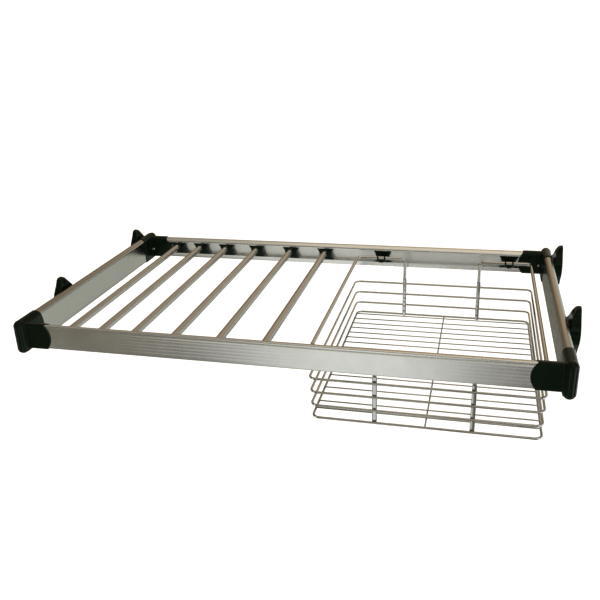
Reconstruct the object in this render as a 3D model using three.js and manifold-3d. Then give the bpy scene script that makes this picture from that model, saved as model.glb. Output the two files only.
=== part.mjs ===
// Pull-out trouser rack with a hanging wire basket, for the inside of a wardrobe.
// Millimetres. +X right, +Y towards the back of the wardrobe, +Z up.
// Origin: midway between the two wardrobe walls, middle of the frame's depth,
// level with the middle of the side rails and runners.

import * as THREE from 'three';
import { mergeVertices } from 'three/addons/utils/BufferGeometryUtils.js';
import Module from 'manifold-3d';

// ---------- driving dimensions ----------
const WALL = 432;            // half width over the wall brackets (864 wall to wall)
const RAIL_OUT = 412.5;      // outer face of the side rails, from the middle
const SIDE_T = 14.5;         // side rail thickness
const SIDE_H = 49;           // side rail height
const DEPTH = 472;           // frame depth, front face to rear face
const END_T = 12.6;          // front and rear rail thickness
const END_LOW = -19.4, END_HIGH = 20; // lowest and highest point of the front and rear rails
const SHOULDER = 13.2;       // where their rounded shoulder meets the inner face
const WALL_T = 2;            // extrusion wall
const LIP_T = 2;             // lips of the T-slot
const SLOT_LOW = -11.5, SLOT_HIGH = 12.5;     // mouth of the T-slot
const SLOT_IN_LOW = -15.5, SLOT_IN_HIGH = 15.4; // inside of the T-slot
const CAP_T = 1.5;           // wall of the corner caps over the rails
const GAP = 0.3;             // clearance between pieces that touch
const CAP_END_X = 354.8;     // where a cap's sleeve ends on a front or rear rail
const CAP_SAG = 9.2;         // bow of that end
const FRONT_CAP_Y = 186.5, FRONT_CAP_SAG = 7; // the same on a side rail, front caps
const REAR_CAP_Y = 194;      // rear caps end straight on the side rails
const REAR_NOSE_Y = 245.5, REAR_NOSE_R = 8.5, REAR_NOSE_H = 24.5; // round back of a rear cap
const FRONT_NOSE_LOW = -28.5; // lowest point of the front caps' round noses

const BAR_X = [-335.1, -283.9, -227.8, -161.6, -89.5, -17.5]; // trouser bars
const BAR_R = 6, BAR_WALL = 1.2, BAR_Z = 3.6;
const CLIP_W = 35, CLIP_WAIST = 23.5;
const SOCKET_R = 7.9, SOCKET_L = 7; // collar of a clip round its bar

const RUNNER_L = 350;        // length of each runner member
const RUNNER_CENTRE = 78;    // middle of the fixed member along Y
const OPEN_AT_REST = 20;     // how far the rack stands pulled out

const EAR_Y = [-76, 219.5];    // wall bracket centres along Y
const EAR_W = 53.6, EAR_H = 76;
const EAR_IN = 413.5;        // inner plane of the brackets

// Basket wires by their centre lines: [left x, right x, z], rims from the top down, then the floor ring.
const RIMS = [[47.5, 382.2, -48], [48.9, 381.8, -70.3], [49.5, 381.2, -92.4]];
const FLOOR = [51, 381.4, -113];
const BASKET_Y = 207;
const RIM_D = 3.8, FLOOR_WIRE_R = 1.15, FLOOR_KEEL_R = 1.3, KEEL_X = [218.8, 223.2]; // keel wire at the front and rear
const FLOOR_WIRE_Y = [189.4, 165, 142.8, 121.3, 99.3, 77.8, 55.8, 34.1, 12.4, -9.4, -31.1, -52.8, -74.5, -95.9, -117.2, -139.3, -161.3, -183];
const HANGER_R = 3, HANGER_Y = 204.3, HANGER_Z = 3.9;
const HANGER_X = [52.25, 377.6], STRAP_X = [144.8, 285.5];
const STRAP_W = 6.4, STRAP_Y = [203.1, 204.8], LEG_LOW = -37, STRAP_TOP = -31;
const HOOK_X = [98.5, 338.2]; // basket hook clips along the rails

const wasm = await Module();
wasm.setup();

// ---------- helpers ----------
function solid(geometry) {
  let g = geometry.clone();
  g.deleteAttribute('normal');
  g.deleteAttribute('uv');
  g = mergeVertices(g, 1e-4);
  return new wasm.Manifold(new wasm.Mesh({
    numProp: 3,
    vertProperties: new Float32Array(g.attributes.position.array),
    triVerts: new Uint32Array(g.index.array),
  }));
}

function geometryOf(manifold) {
  const m = manifold.getMesh();
  const g = new THREE.BufferGeometry();
  g.setAttribute('position', new THREE.BufferAttribute(new Float32Array(m.vertProperties), 3));
  g.setIndex(new THREE.BufferAttribute(new Uint32Array(m.triVerts), 1));
  g.computeVertexNormals();
  return g;
}

const union = (...s) => s.reduce((a, b) => a.add(b));

// A polygon pushed along one axis. Points are (y,z) for x, (x,z) for y, (x,y) for z.
function prism(points, axis, from, to, holes = []) {
  const shape = new THREE.Shape(points.map(([a, b]) => new THREE.Vector2(a, b)));
  for (const h of holes) shape.holes.push(new THREE.Path(h.map(([a, b]) => new THREE.Vector2(a, b))));
  const g = new THREE.ExtrudeGeometry(shape, { depth: to - from, bevelEnabled: false, steps: 1 });
  const m = new THREE.Matrix4();
  if (axis === 'x') m.makeBasis(new THREE.Vector3(0, 1, 0), new THREE.Vector3(0, 0, 1), new THREE.Vector3(1, 0, 0)).setPosition(from, 0, 0);
  if (axis === 'y') m.makeBasis(new THREE.Vector3(1, 0, 0), new THREE.Vector3(0, 0, 1), new THREE.Vector3(0, -1, 0)).setPosition(0, to, 0);
  if (axis === 'z') m.makeTranslation(0, 0, from);
  return g.applyMatrix4(m);
}

const rect = (a0, b0, a1, b1) => [[a0, b0], [a1, b0], [a1, b1], [a0, b1]];
const box = (x0, x1, y0, y1, z0, z1) => {
  const g = new THREE.BoxGeometry(x1 - x0, y1 - y0, z1 - z0);
  return g.translate((x0 + x1) / 2, (y0 + y1) / 2, (z0 + z1) / 2);
};

function circle(r, n, ca = 0, cb = 0, turn = 0.5) {
  const p = [];
  for (let i = 0; i < n; i++) {
    const t = ((i + turn) / n) * 2 * Math.PI;
    p.push([ca + r * Math.cos(t), cb + r * Math.sin(t)]);
  }
  return p;
}

function arc(ca, cb, ra, rb, t0, t1, n) {
  const p = [];
  for (let i = 0; i <= n; i++) {
    const t = (t0 + ((t1 - t0) * i) / n) * Math.PI / 180;
    p.push([ca + ra * Math.cos(t), cb + rb * Math.sin(t)]);
  }
  return p;
}

const rod = (r, n, axis, from, to, a, b) => prism(circle(r, n, a, b), axis, from, to);

function mirrored(geometry, axis) {
  const g = geometry.clone();
  g.scale(axis === 'x' ? -1 : 1, axis === 'y' ? -1 : 1, 1);
  if (g.index) {
    const i = g.index.array;
    for (let k = 0; k < i.length; k += 3) [i[k], i[k + 1]] = [i[k + 1], i[k]];
  } else {
    const p = g.attributes.position.array;
    for (let k = 0; k < p.length; k += 9)
      for (let c = 0; c < 3; c++) [p[k + c], p[k + 3 + c]] = [p[k + 3 + c], p[k + c]];
  }
  g.deleteAttribute('uv');
  g.computeVertexNormals();
  return g;
}

// A bent wire: straight runs joined by round bends, as corner points with a bend radius.
class Wire extends THREE.Curve {
  constructor(corners, bend, perBend) {
    super();
    const pts = [corners[0].clone()];
    for (let i = 1; i < corners.length - 1; i++) {
      const a = corners[i - 1].clone().sub(corners[i]).normalize();
      const b = corners[i + 1].clone().sub(corners[i]).normalize();
      const half = Math.acos(a.dot(b)) / 2;
      const back = bend / Math.tan(half);
      const mid = corners[i].clone().add(a.clone().add(b).normalize().multiplyScalar(bend / Math.sin(half)));
      const p0 = corners[i].clone().addScaledVector(a, back).sub(mid);
      const p1 = corners[i].clone().addScaledVector(b, back).sub(mid);
      const sweep = Math.acos(p0.dot(p1) / (bend * bend));
      for (let k = 0; k <= perBend; k++) {
        const t = k / perBend;
        pts.push(p0.clone().multiplyScalar(Math.sin((1 - t) * sweep) / Math.sin(sweep))
          .addScaledVector(p1, Math.sin(t * sweep) / Math.sin(sweep)).add(mid));
      }
    }
    pts.push(corners[corners.length - 1].clone());
    this.pts = pts;
    this.steps = pts.length - 1;
  }
  getPoint(t, target = new THREE.Vector3()) {
    const s = Math.min(this.steps, Math.max(0, t * this.steps));
    const i = Math.min(this.steps - 1, Math.floor(s));
    return target.lerpVectors(this.pts[i], this.pts[i + 1], s - i);
  }
  getPointAt(u, target) { return this.getPoint(u, target); }
  getTangentAt(u, target = new THREE.Vector3()) {
    const i = Math.round(u * this.steps);
    const before = this.pts[Math.max(0, i - 1)], at = this.pts[i], after = this.pts[Math.min(this.steps, i + 1)];
    const d0 = at.clone().sub(before).normalize(), d1 = after.clone().sub(at).normalize();
    return target.copy(d0).add(d1).normalize();
  }
}

function bentWire(corners, r, bend, perBend, sides) {
  const path = new Wire(corners.map((c) => new THREE.Vector3(...c)), bend, perBend);
  const shape = new THREE.Shape(circle(r, sides).map(([a, b]) => new THREE.Vector2(a, b)));
  return new THREE.ExtrudeGeometry(shape, { steps: path.steps, extrudePath: path, bevelEnabled: false });
}

function roundedRect(x0, y0, x1, y1, r, n) {
  return [
    ...arc(x1 - r, y1 - r, r, r, 0, 90, n), ...arc(x0 + r, y1 - r, r, r, 90, 180, n),
    ...arc(x0 + r, y0 + r, r, r, 180, 270, n), ...arc(x1 - r, y0 + r, r, r, 270, 360, n),
  ];
}

// A closed wire ring lying flat: an eight-sided section made by bevelling a flat band.
function wireRing(x0, y0, x1, y1, corner, d, z, n = 3) {
  const flat = d * (Math.SQRT2 - 1), bevel = (d - flat) / 2;
  const outer = roundedRect(x0 - flat / 2, y0 - flat / 2, x1 + flat / 2, y1 + flat / 2, corner + flat / 2, n);
  const inner = roundedRect(x0 + flat / 2, y0 + flat / 2, x1 - flat / 2, y1 - flat / 2, corner - flat / 2, n);
  const shape = new THREE.Shape(outer.map(([a, b]) => new THREE.Vector2(a, b)));
  shape.holes.push(new THREE.Path(inner.reverse().map(([a, b]) => new THREE.Vector2(a, b))));
  const g = new THREE.ExtrudeGeometry(shape, { depth: flat, bevelEnabled: true, bevelThickness: bevel, bevelSize: bevel, bevelSegments: 1, steps: 1 });
  return g.translate(0, 0, z - flat / 2);
}

// ---------- materials ----------
const aluminium = () => new THREE.MeshStandardMaterial({ color: 0xb9b3a6, roughness: 0.38, metalness: 0.9 });
const tube = () => new THREE.MeshStandardMaterial({ color: 0xb4ada0, roughness: 0.32, metalness: 0.9 });
const black = () => new THREE.MeshStandardMaterial({ color: 0x14180f, roughness: 0.4, metalness: 0 });
const chrome = () => new THREE.MeshStandardMaterial({ color: 0xd0d0cc, roughness: 0.12, metalness: 1 });
const zinc = () => new THREE.MeshStandardMaterial({ color: 0xa8aaa8, roughness: 0.3, metalness: 1 });

const rack = new THREE.Group();
function add(name, shape, material, parent = rack) {
  const geometry = shape.isBufferGeometry ? shape : geometryOf(shape);
  const mesh = new THREE.Mesh(geometry, material);
  mesh.name = name;
  parent.add(mesh);
  return mesh;
}
const SIDES = [['left', -1], ['right', 1]];
const ENDS = [['front', -1], ['rear', 1]];

// ---------- rails ----------
const IN = RAIL_OUT - SIDE_T;         // inner face of the side rails
const HALF = DEPTH / 2, FACE = HALF - END_T; // outer and inner face of front and rear rails
const SH = SIDE_H / 2;
const CAVITY_TOP = 19.8, CAVITY_LOW = -21.5;

// Outline of a side rail section in (x,z), right-hand rail, grown by d.
function sideOutline(d = 0, n = 8) {
  const r = SIDE_T / 2 + d, cx = (IN + RAIL_OUT) / 2;
  return [...arc(cx, SH + d - r, r, r, 0, 180, n), [IN - d, -SH - d + 1], [IN - d + 1, -SH - d], [RAIL_OUT + d - 1, -SH - d], [RAIL_OUT + d, -SH - d + 1]];
}
// Outline of a front or rear rail section in (y,z), rear rail, grown by d.
function endOutline(d = 0, n = 6) {
  // The top is sharp on the outer side and falls in a broad round shoulder to the inner face.
  const y0 = FACE - d, y1 = HALF + d, z1 = END_HIGH + d, z0 = END_LOW - d, flat = 2.2;
  const ry = y1 - flat - y0, rz = END_HIGH - SHOULDER + d;
  return [...arc(y1 - 1.6, z1 - 1.6, 1.6, 1.6, 0, 90, 3), ...arc(y0 + ry, z1 - rz, ry, rz, 90, 180, n),
    [y0, z0 + 1], [y0 + 1, z0], [y1 - 2 - d, z0], [y1, z0 + 2 + d]];
}

const sideSection = (() => {
  const r = SIDE_T / 2, cx = (IN + RAIL_OUT) / 2, cz = SH - r;
  const cut = Math.asin((CAVITY_TOP - cz) / r) * 180 / Math.PI;
  return [...arc(cx, cz, r, r, cut, 180, 8), [IN, -SH + 1], [IN + 1, -SH], [RAIL_OUT - 1, -SH], [RAIL_OUT, -SH + 1],
    [RAIL_OUT, CAVITY_LOW], [IN + WALL_T, CAVITY_LOW], [IN + WALL_T, CAVITY_TOP]];
})();
const RUNNER_SCREW_Y = [-107 + 60];
for (const [side, s] of SIDES) {
  let g = solid(prism(sideSection, 'y', -HALF + 1, HALF - 1));
  for (const y of RUNNER_SCREW_Y) g = g.subtract(solid(rod(2.4, 8, 'x', IN - 1, IN + WALL_T + 1, y, 0)));
  g = geometryOf(g);
  add(`${side}_side_rail`, s > 0 ? g : mirrored(g, 'x'), aluminium());
}

// Front and rear rails: T-slot facing the inside, five shallow flutes on the outer face.
const FLUTES = [10.5, 5.2, -0.1, -5.4, -10.7], FLUTE_W = 1.1, FLUTE_D = 0.5;
const endSection = (() => {
  const y1 = HALF, o = endOutline();
  const face = [];
  for (const z of [...FLUTES].reverse())
    face.push([y1, z - FLUTE_W], [y1 - FLUTE_D, z - FLUTE_W / 2], [y1 - FLUTE_D, z + FLUTE_W / 2], [y1, z + FLUTE_W]);
  const top = o.slice(0, 11), low = o.slice(11);
  const slot = [[FACE, SLOT_HIGH], [FACE + LIP_T, SLOT_HIGH], [FACE + LIP_T, SLOT_IN_HIGH], [HALF - WALL_T, SLOT_IN_HIGH],
    [HALF - WALL_T, SLOT_IN_LOW], [FACE + LIP_T, SLOT_IN_LOW], [FACE + LIP_T, SLOT_LOW], [FACE, SLOT_LOW]];
  return [...top, ...slot, ...low, ...face];
})();
for (const [end, s] of ENDS) {
  const g = prism(endSection, 'x', -IN + GAP, IN - GAP);
  add(`${end}_rail`, s > 0 ? g : mirrored(g, 'y'), aluminium());
}

// ---------- corner caps ----------
const CAP_R = SIDE_T / 2 + CAP_T, CAP_X = (IN + RAIL_OUT) / 2;
const CAP_SCREW_X = 392.5, CAP_SCREW_Z = -4;
function bowed(endAt, halfHeight, sag, far) {
  // Flat outline that keeps everything on the far side of a bowed end.
  const pts = [];
  for (let i = 0; i <= 8; i++) {
    const z = -halfHeight + (2 * halfHeight * i) / 8;
    pts.push([endAt + sag * (z / halfHeight) ** 2, z]);
  }
  pts[0][1] = -halfHeight - 4; pts[8][1] = halfHeight + 4;
  return [...pts, [far, halfHeight + 4], [far, -halfHeight - 4]];
}
// Built at the right rear corner; the front corners are its mirror image with a closed outer side.
function cornerCap(front) {
  let sleeveSide = solid(prism(sideOutline(CAP_T, 10), 'y', front ? FRONT_CAP_Y - 2 : REAR_CAP_Y, front ? HALF + 1.5 : HALF + 3.5));
  if (front) sleeveSide = sleeveSide.intersect(solid(prism(bowed(FRONT_CAP_Y, SH + CAP_T, FRONT_CAP_SAG, 300), 'x', 380, 430)));
  let sleeveEnd = solid(prism(endOutline(CAP_T), 'x', CAP_END_X - 2, CAP_X));
  sleeveEnd = sleeveEnd.intersect(solid(prism(bowed(CAP_END_X, END_HIGH + CAP_T, CAP_SAG, 500), 'y', 200, 260)));
  const upright = (r, low, high, y, n) => solid(new THREE.CapsuleGeometry(r, high - low - 2 * r, 3, n, 1).rotateX(Math.PI / 2).translate(CAP_X, y, (low + high) / 2));
  const nose = front ? upright(CAP_R, FRONT_NOSE_LOW, SH + CAP_T, HALF + 1.5, 12) : upright(REAR_NOSE_R, -REAR_NOSE_H, REAR_NOSE_H, REAR_NOSE_Y, 12);
  let cap = union(sleeveSide, sleeveEnd, nose);
  if (front) cap = cap.add(upright(5.2, FRONT_NOSE_LOW + 2.5, SH + CAP_T - 2.5, HALF + 1.5 + CAP_R - 5.2 + 1.2, 10));
  // Room for the two rails.
  cap = cap.subtract(solid(prism(sideOutline(GAP, 8), 'y', 150, HALF - 1 + GAP)));
  cap = cap.subtract(solid(prism(endOutline(GAP), 'x', 300, IN - GAP + GAP)));
  if (!front) {
    // The fixed runner member passes the rear caps, so their outer side stays open.
    cap = cap.subtract(solid(box(RAIL_OUT, 440, 150, HALF + 1, -60, 60)));
    cap = cap.subtract(solid(box(IN + WALL_T + GAP, 440, 150, 260, CAVITY_LOW + 1.2, CAVITY_TOP - 0.4)));
  }
  // A plug in the T-slot takes the screw that locks the cap to the rail.
  const plug = solid(box(372, 396, FACE - CAP_T + 0.2, HALF - WALL_T - 1.5, SLOT_LOW + 0.6, SLOT_HIGH - 0.6));
  cap = cap.add(plug);
  cap = cap.subtract(solid(rod(1.9, 8, 'y', FACE - 10, FACE + 8, CAP_SCREW_X, CAP_SCREW_Z)));
  return geometryOf(cap);
}
const rearCap = cornerCap(false), frontCap = mirrored(cornerCap(true), 'y');
for (const [end, e] of ENDS) for (const [side, s] of SIDES) {
  const g = e > 0 ? rearCap : frontCap;
  add(`${end}_${side}_corner_cap`, s > 0 ? g.clone() : mirrored(g, 'x'), black());
}

// A pan-head screw pointing along +Y, its head's seat at y = 0.
function screw(headR, headH, shankR, shankL, n = 10) {
  const p = [[0, -headH], [headR * 0.75, -headH], [headR, -headH * 0.45], [headR, 0], [shankR, 0], [shankR, shankL - 1.2], [0, shankL]];
  return new THREE.LatheGeometry(p.map(([a, b]) => new THREE.Vector2(a, b)), n);
}
for (const [end, e] of ENDS) for (const [side, s] of SIDES) {
  let g = screw(3, 2, 1.5, 9, 8);
  if (e < 0) g = g.rotateZ(Math.PI);
  const m = add(`${end}_${side}_cap_screw`, g, zinc());
  m.position.set(s * CAP_SCREW_X, e * (FACE - CAP_T - GAP), CAP_SCREW_Z);
}

// ---------- trouser bars and their clips ----------
// Outline of a bar clip in (x,z), waisted so that the rail shows between two clips.
function bowTie(z0, z1, w = CLIP_W / 2, q = CLIP_WAIST / 2) {
  const zm = (z0 + z1) / 2, h = (z1 - z0) / 2;
  const edge = [];
  for (let i = 0; i <= 8; i++) {
    const t = -1 + (2 * i) / 8;
    edge.push([q + (w - q) * Math.abs(t) ** 1.9, zm + h * t]);
  }
  return [...edge, ...edge.map(([a, b]) => [-a, b]).reverse()];
}
function barClip() {
  const inner = FACE + LIP_T + GAP;
  let c = union(solid(prism(bowTie(SLOT_IN_LOW + 0.4, SLOT_IN_HIGH - 0.4, 15, 9), 'y', inner, inner + 3.2)),
    solid(prism(bowTie(SLOT_LOW + 0.4, SLOT_HIGH - 0.4), 'y', FACE - 0.8, inner + 0.6)),
    solid(rod(SOCKET_R, 16, 'y', FACE - SOCKET_L, FACE + 1, 0, BAR_Z)));
  c = c.subtract(solid(rod(BAR_R + 0.4, 16, 'y', FACE - 9, FACE + 4.2, 0, BAR_Z)));
  return geometryOf(c);
}
const clipRear = barClip(), clipFront = mirrored(clipRear, 'y');
BAR_X.forEach((x, i) => {
  const n = i + 1;
  const bar = prism(circle(BAR_R, 12), 'y', -(FACE + 3.8), FACE + 3.8, [circle(BAR_R - BAR_WALL, 12)]);
  add(`trouser_bar_${n}`, bar, tube()).position.set(x, 0, BAR_Z);
  add(`bar_${n}_front_clip`, clipFront.clone(), black()).position.set(x, 0, 0);
  add(`bar_${n}_rear_clip`, clipRear.clone(), black()).position.set(x, 0, 0);
});

// ---------- runners: fixed member, outer ball cage, middle member, inner ball cage, rack member ----------
const U = IN + WALL_T; // inner face of the side rail's channel
function channel(u0, u1, h, t, lipTo) {
  // C-section in (x,z): web between u0 and u1, lips of thickness t reaching to lipTo.
  if (lipTo > u1) return [[U + u0, -h], [U + lipTo, -h], [U + lipTo, -h + t], [U + u1, -h + t], [U + u1, h - t], [U + lipTo, h - t], [U + lipTo, h], [U + u0, h]];
  return [[U + u1, -h], [U + u1, h], [U + lipTo, h], [U + lipTo, h - t], [U + u0, h - t], [U + u0, -h + t], [U + lipTo, -h + t], [U + lipTo, -h]];
}
const fixedFrom = RUNNER_CENTRE - RUNNER_L / 2;
const members = {
  fixed: { section: channel(11.7, 13.2, 17.5, 1.5, 4.2), from: fixedFrom },
  middle: { section: channel(7.3, 8.6, 13.7, 1.4, 2.6), from: fixedFrom - OPEN_AT_REST / 2 },
  rack: { section: channel(0.3, 1.7, 10, 1.4, 6), from: fixedFrom - OPEN_AT_REST },
};
for (const [side, s] of SIDES) for (const [kind, m] of Object.entries(members)) {
  let g = solid(prism(m.section, 'y', m.from, m.from + RUNNER_L));
  if (kind === 'fixed') for (const y of EAR_Y) g = g.subtract(solid(rod(2.4, 8, 'x', U + 10, U + 15, y, 0)));
  if (kind === 'rack') for (const y of RUNNER_SCREW_Y) g = g.subtract(solid(rod(2.4, 8, 'x', U - 1, U + 3, y, 0)));
  g = geometryOf(g);
  add(`${side}_runner_${kind}_member`, s > 0 ? g : mirrored(g, 'x'), zinc());
}
const CAGE_L = 150, BALLS = 3;
function ballCage(u0, u1, h, lipTo, ballU, ballZ, centre) {
  let g = solid(prism(channel(u0, u1, h, 0.6, lipTo), 'y', centre - CAGE_L / 2, centre + CAGE_L / 2));
  for (let i = 0; i < BALLS; i++) for (const z of [-ballZ, ballZ])
    g = g.add(solid(new THREE.OctahedronGeometry(1.05, 1).translate(U + ballU, centre + (i - (BALLS - 1) / 2) * 60, z)));
  return geometryOf(g);
}
for (const [side, s] of SIDES) {
  const inner = ballCage(6.35, 6.95, 11.45, 3.4, 4.4, 11.15, RUNNER_CENTRE - OPEN_AT_REST * 0.75);
  const outer = ballCage(9.0, 9.6, 15.15, 5.6, 6.6, 14.85, RUNNER_CENTRE - OPEN_AT_REST * 0.25);
  add(`${side}_inner_ball_cage`, s > 0 ? inner : mirrored(inner, 'x'), zinc());
  add(`${side}_outer_ball_cage`, s > 0 ? outer : mirrored(outer, 'x'), zinc());
  // Screw through the rack member's web into the side rail.
  for (const y of RUNNER_SCREW_Y) {
    const m = add(`${side}_runner_screw`, screw(3.4, 1.5, 1.6, 3.6, 8).rotateZ(s * Math.PI / 2), zinc());
    m.position.set(s * (U + 1.7 + GAP), y, 0);
  }
}

// ---------- wall brackets ----------
function wallBracket() {
  // Leaf-shaped pad against the wall, rising to a flat land that carries the fixed runner member.
  const w = EAR_W / 2, h = EAR_H / 2;
  const edge = [[w, 0], [w - 0.2, 3], [25.4, 8], [22.5, 14], [18.2, 20], [14.9, 24], [12, 28], [9.8, 32], [8.1, 35], [6.2, 36.7], [3.4, 37.8]];
  const quarter = [...edge, [0, h]];
  const leaf = [...quarter, ...edge.slice(1).reverse().map(([a, c]) => [-a, c]), [-w, 0], ...edge.slice(1).map(([a, c]) => [-a, -c]), [0, -h], ...edge.slice(1).reverse().map(([a, c]) => [a, -c])];
  const body = solid(prism(leaf, 'x', EAR_IN, WALL));
  const half = [[WALL - 2.4, h + 1], [WALL - 4, h - 0.5], [WALL - 7, h - 2.2], [WALL - 9.2, h - 6], [WALL - 11.2, h - 10], [WALL - 12.3, h - 14], [WALL - 12.9, h - 18], [WALL - 13.7, h - 22], [WALL - 15.2, h - 25.8], [EAR_IN, 9]];
  const side = [[WALL, -h - 1], [WALL, h + 1], ...half, ...half.map(([a, c]) => [a, -c]).reverse()];
  let b = body.intersect(solid(prism(side, 'y', -w - 1, w + 1)));
  b = b.subtract(solid(rod(2.0, 8, 'x', EAR_IN - 1, EAR_IN + 9, 0, 0)));
  for (const z of [-h + 9.5, h - 9.5]) {
    b = b.subtract(solid(rod(2.2, 8, 'x', EAR_IN - 1, WALL + 1, 0, z)));
  }
  return geometryOf(b);
}
const bracket = wallBracket();
for (const [side, s] of SIDES) ENDS.forEach(([end], i) => {
  add(`${side}_${end}_wall_bracket`, s > 0 ? bracket.clone() : mirrored(bracket, 'x'), black()).position.set(0, EAR_Y[i], 0);
  const m = add(`${side}_${end}_bracket_screw`, screw(3.4, 1.3, 1.6, 8.5, 8).rotateZ(-s * Math.PI / 2), zinc());
  m.position.set(s * (U + 11.7 - GAP), EAR_Y[i], 0);
});

// ---------- hanging basket ----------
RIMS.forEach(([x0, x1, z], i) => add(`basket_rim_${i + 1}`, wireRing(x0, -BASKET_Y, x1, BASKET_Y, 11, RIM_D, z), chrome()));
{
  const [x0, x1, z] = FLOOR;
  let g = solid(wireRing(x0, -BASKET_Y, x1, BASKET_Y, 11, RIM_D, z));
  for (const y of FLOOR_WIRE_Y) g = g.add(solid(rod(FLOOR_WIRE_R, 6, 'x', x0 - 0.6, x1 + 0.6, y, z + RIM_D / 2 + FLOOR_WIRE_R - 0.6)));
  const keel = rod(FLOOR_KEEL_R, 6, 'y', -BASKET_Y, BASKET_Y, 0, 0);
  const slope = (KEEL_X[1] - KEEL_X[0]) / (2 * BASKET_Y);
  keel.applyMatrix4(new THREE.Matrix4().makeShear(0, 0, slope, 0, 0, 0)).translate((KEEL_X[0] + KEEL_X[1]) / 2, 0, z - 0.1);
  g = g.add(solid(keel));
  add('basket_floor', geometryOf(g), chrome());
}
HANGER_X.forEach((x, i) => {
  const sx = STRAP_X[i];
  let g = solid(bentWire([[sx, HANGER_Y, LEG_LOW], [sx, HANGER_Y, HANGER_Z], [x, HANGER_Y, HANGER_Z], [x, -HANGER_Y, HANGER_Z], [sx, -HANGER_Y, HANGER_Z], [sx, -HANGER_Y, LEG_LOW]], HANGER_R, 8, 3, 8));
  for (const s of [-1, 1]) {
    const [y0, y1] = s > 0 ? STRAP_Y : [-STRAP_Y[1], -STRAP_Y[0]];
    g = g.add(solid(box(sx - STRAP_W / 2, sx + STRAP_W / 2, y0, y1, FLOOR[2] - RIM_D / 2, STRAP_TOP)));
  }
  add(`basket_hanger_${i ? 'right' : 'left'}`, geometryOf(g), chrome());
});

// Hook clips: held in the T-slots, two upturned prongs carry the hanger wire.
// The prongs end this far above the wire's middle; those at the front are shorter.
// Waisted plate of a hook clip: wide at the top, narrow behind the wire, two wings at the bottom.
function hookPlate(z0, z1, less) {
  const half = [[17.4, z1], [14.9, 6.5], [13.2, 2.4], [12.6, -0.6], [8.6, -1.2], [8.6, -8], [12, -8.6], [16.9, -9.8], [16.9, z0]].map(([a, c]) => [a - less, c]);
  return [...half.map(([a, c]) => [-a, c]), ...half.reverse()];
}
function hookClip(tip) {
  const z0 = SLOT_LOW + 0.4, z1 = SLOT_HIGH - 0.4;
  const base = prism(hookPlate(SLOT_IN_LOW + 0.4, SLOT_IN_HIGH - 0.4, 1.6), 'y', FACE + LIP_T + GAP, FACE + LIP_T + GAP + 3.2);
  const face = hookPlate(z0, z1, 0);
  let c = union(solid(base), solid(prism(face, 'y', FACE - 1, FACE + LIP_T + GAP + 0.6)));
  const ri = HANGER_R + GAP, ro = ri + 2.5, cy = HANGER_Y, cz = HANGER_Z;
  const hook = [[FACE + 0.5, cz - ri], ...arc(cy, cz, ri, ri, 270, 180, 4), [cy - ri, cz + tip - 0.6], [cy - ri - 1.2, cz + tip], [cy - ro, cz + tip - 0.6],
    ...arc(cy, cz, ro, ro, 180, 262, 5), [FACE - 9, cz - ro - 0.8], [FACE + 0.5, z0 + 1]];
  for (const x of [-6.6, 6.6]) c = c.add(solid(prism(hook, 'x', x - 1.5, x + 1.5)));
  // A round-bellied web joins the two prongs below the wire.
  c = c.add(solid(prism([...arc(0, cz - ro + 0.5, 6.6, 4.4, 180, 360, 6), [6.6, cz - ri - 0.7], [-6.6, cz - ri - 0.7]], 'y', cy - 1.5, FACE + 0.5)));
  return geometryOf(c);
}
const hookRear = hookClip(4.6), hookFront = mirrored(hookClip(1.2), 'y');
for (const [end, e] of ENDS) HOOK_X.forEach((x, i) => {
  add(`basket_hook_${end}_${i ? 'right' : 'left'}`, (e > 0 ? hookRear : hookFront).clone(), black()).position.set(x, 0, 0);
});

export default rack;
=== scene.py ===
# Pull-out trouser rack with a hanging wire basket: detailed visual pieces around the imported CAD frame.
# Sizes are written in millimetres and become metres when a mesh is made.
import math
import bpy
import numpy as np
from mathutils import Matrix, Vector
from mathutils.geometry import tessellate_polygon


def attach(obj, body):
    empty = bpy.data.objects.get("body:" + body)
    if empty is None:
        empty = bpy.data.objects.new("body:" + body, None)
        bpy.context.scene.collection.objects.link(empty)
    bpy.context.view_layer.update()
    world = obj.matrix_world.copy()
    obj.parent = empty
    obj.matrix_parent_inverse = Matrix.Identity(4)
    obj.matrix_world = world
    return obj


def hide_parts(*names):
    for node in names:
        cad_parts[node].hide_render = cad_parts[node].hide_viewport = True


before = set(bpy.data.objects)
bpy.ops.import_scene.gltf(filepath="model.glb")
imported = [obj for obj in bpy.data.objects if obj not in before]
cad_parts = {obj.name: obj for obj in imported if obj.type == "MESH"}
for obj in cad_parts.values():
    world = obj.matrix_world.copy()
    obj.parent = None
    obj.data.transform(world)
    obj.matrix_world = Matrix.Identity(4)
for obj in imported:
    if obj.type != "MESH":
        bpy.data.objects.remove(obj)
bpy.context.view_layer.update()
scene = bpy.context.scene
MM = 0.001

# ---------------------------------------------------------------- dimensions (mm), as in the CAD
WALL, RAIL_OUT, SIDE_T, SIDE_H, DEPTH, END_T = 432.0, 412.5, 14.5, 49.0, 472.0, 12.6
END_LOW, END_HIGH, SHOULDER, WALL_T, LIP_T = -19.4, 20.0, 13.2, 2.0, 2.0
SLOT_LOW, SLOT_HIGH, SLOT_IN_LOW, SLOT_IN_HIGH = -11.5, 12.5, -15.5, 15.4
CAP_T, GAP = 1.5, 0.3
CAP_END_X, CAP_SAG, FRONT_CAP_Y, FRONT_CAP_SAG, REAR_CAP_Y = 354.8, 9.2, 186.5, 7.0, 194.0
BAR_X = [-335.1, -283.9, -227.8, -161.6, -89.5, -17.5]
BAR_R, BAR_WALL, BAR_Z, CLIP_W, CLIP_WAIST = 6.0, 1.2, 3.6, 35.0, 23.5
SOCKET_R, SOCKET_L = 7.9, 7.0
REAR_NOSE_Y, REAR_NOSE_R, REAR_NOSE_H, FRONT_NOSE_LOW = 245.5, 8.5, 24.5, -28.5
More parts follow.
